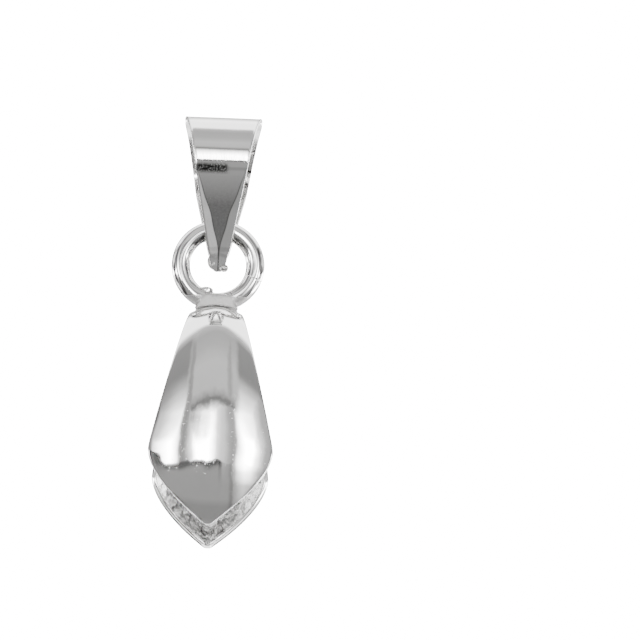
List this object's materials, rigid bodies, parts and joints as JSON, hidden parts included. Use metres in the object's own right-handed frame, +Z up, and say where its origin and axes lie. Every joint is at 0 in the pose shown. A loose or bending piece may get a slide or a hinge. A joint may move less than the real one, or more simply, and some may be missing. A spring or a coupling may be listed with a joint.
{
  "type": "pinch bail finding",
  "caption": "Jewellery pinch bail: a folded tapered band hangs in a wire ring on a sprung clip with two domed pointed leaves and inner pins.",
  "frame": {"origin": "underside of the top of the bail band, in the middle, where the chain bears", "axes": "+Z up, X along the chain that passes through the band, -Y towards the front leaf"},
  "size_m": [0.0068, 0.0088, 0.0234],
  "materials": {
    "band_silver": "polished silver sheet with milled edges",
    "clip_silver": "polished silver outside, grainy as cast inside the leaves"
  },
  "bodies": {
    "band": {"bail_band": "band_silver"},
    "clip": {"pinch_clip": "clip_silver"}
  },
  "joints": [
    {"name": "clip_swing", "type": "hinge", "parent": "band", "child": "clip", "pos_m": [0, 0, -0.00595], "axis": [1, 0, 0], "range_deg": [-110, 110]}
  ]
}
